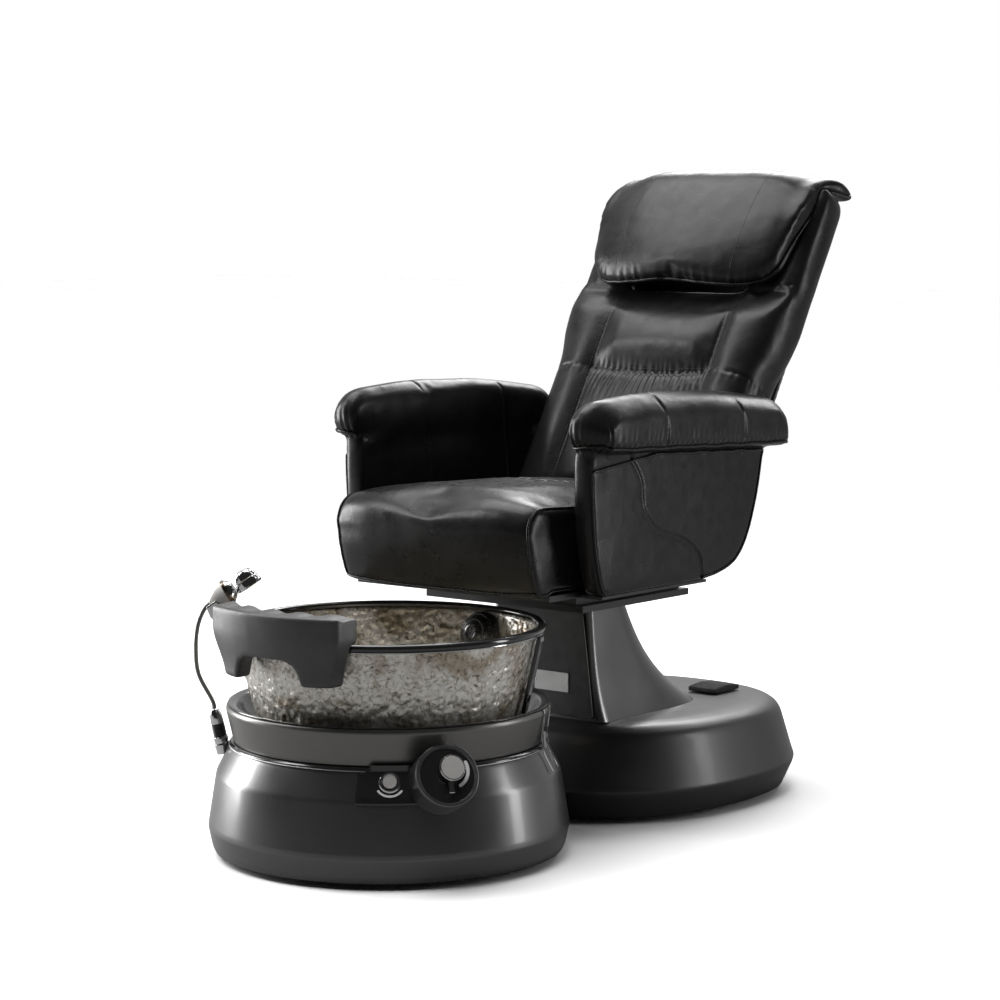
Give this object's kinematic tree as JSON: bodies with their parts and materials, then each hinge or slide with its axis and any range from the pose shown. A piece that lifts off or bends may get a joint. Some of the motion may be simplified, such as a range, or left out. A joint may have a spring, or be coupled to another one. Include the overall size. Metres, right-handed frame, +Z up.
{
  "type": "pedicure spa chair",
  "caption": "Reclining leather armchair on a flared pedestal, joined to a round jetted footbath with a hammered bowl, hooked footrest, mixer valve and hand sprayer.",
  "frame": {"origin": "middle of the footprint, on the floor", "axes": "+X is the sitter's left, the sitter faces -Y, +Z is up"},
  "size_m": [0.704, 1.5352, 1.2988],
  "materials": {
    "leather": "glossy black upholstery leather",
    "gunmetal": "metallic gunmetal gloss",
    "satin_grey": "satin metallic grey",
    "black_plastic": "black semi-gloss",
    "grey_plastic": "grey satin plastic",
    "chrome": "polished",
    "hammered_glass": "hammered, silvered lustre",
    "steel": "dark powder coat",
    "rubber": "moulded",
    "pad": "moulded polyurethane, satin"
  },
  "bodies": {
    "base": {"bath_shell": "gunmetal", "base_shell": "gunmetal", "pedestal": "gunmetal", "valve_pod": "gunmetal", "bath_collar": "satin_grey", "bath_pan": "black_plastic", "base_pan": "black_plastic", "bath_trim_ring": "black_plastic", "bath_groove_ring": "black_plastic", "bowl_rim": "black_plastic", "jet_housing": "black_plastic", "bowl_bracket": "black_plastic", "valve_plate": "black_plastic", "sprayer_hose": "black_plastic", "pedestal_panel": "black_plastic", "rating_plate": "grey_plastic", "drain_flange": "chrome", "button_bezel": "chrome", "sprayer_holder": "chrome", "hose_guide": "chrome", "stop_valve_body": "chrome", "bowl": "hammered_glass", "link_plate": "steel", "mount_plate": "steel", "slide_rail_left": "steel", "slide_rail_right": "steel", "bath_foot_1": "rubber", "bath_foot_2": "rubber", "bath_foot_3": "rubber", "bath_foot_4": "rubber", "base_foot_1": "rubber", "base_foot_2": "rubber", "base_foot_3": "rubber", "base_foot_4": "rubber"},
    "seat": {"seat_pan": "steel", "seat_cushion": "leather", "arm_panel_left": "leather", "arm_panel_right": "leather", "arm_pad_left": "leather", "arm_pad_right": "leather", "recline_bracket_left": "steel", "recline_bracket_right": "steel"},
    "back": {"lumbar_cushion": "leather", "back_cushion": "leather", "bolster_left": "leather", "bolster_right": "leather", "headrest_pillow": "leather", "back_shell": "grey_plastic"},
    "footrest": {"footrest_pad": "pad"},
    "valve_handle": {"valve_handle": "chrome"},
    "push_button": {"push_button": "grey_plastic"},
    "sprayer": {"sprayer_grip": "grey_plastic", "sprayer_band": "black_plastic", "sprayer_neck": "chrome", "sprayer_head": "chrome"},
    "stop_valve_lever": {"stop_valve_lever": "grey_plastic"},
    "drain_stopper": {"drain_stopper": "chrome"},
    "foot_pedal": {"foot_pedal": "rubber"}
  },
  "joints": [
    {"name": "seat_slide", "type": "slide", "parent": "base", "child": "seat", "axis": [0, 1, 0], "range_m": [-0.06, 0.06]},
    {"name": "back_recline", "type": "hinge", "parent": "seat", "child": "back", "pos_m": [0, 0.27892, 0.54598], "axis": [-1, 0, 0], "range_deg": [-12, 18]},
    {"name": "footrest_lift", "type": "slide", "parent": "base", "child": "footrest", "axis": [0, 0, 1], "range_m": [0, 0.06]},
    {"name": "valve_turn", "type": "hinge", "parent": "base", "child": "valve_handle", "pos_m": [0.30659, -0.60812, 0.22206], "axis": [0.7686, -0.4803, 0.4226], "range_deg": [0, 90]},
    {"name": "button_press", "type": "slide", "parent": "base", "child": "push_button", "axis": [-0.5851, 0.6613, -0.4695], "range_m": [0, 0.003], "stiffness_N_per_m": 800},
    {"name": "sprayer_lift", "type": "slide", "parent": "base", "child": "sprayer", "axis": [0, 0, 1], "range_m": [0, 0.12], "deforming": ["sprayer_hose"]},
    {"name": "stop_valve_turn", "type": "hinge", "parent": "base", "child": "stop_valve_lever", "pos_m": [-0.26968, -0.59213, 0.186], "axis": [-0.6947, -0.4341, 0.5736], "range_deg": [0, 90]},
    {"name": "stopper_lift", "type": "slide", "parent": "base", "child": "drain_stopper", "axis": [0, 0, 1], "range_m": [0, 0.01]},
    {"name": "pedal_press", "type": "hinge", "parent": "base", "child": "foot_pedal", "pos_m": [0.105, 0.50638, 0.2], "axis": [1, 0, 0], "range_deg": [-2, 2], "stiffness_Nm_per_rad": 1}
  ]
}
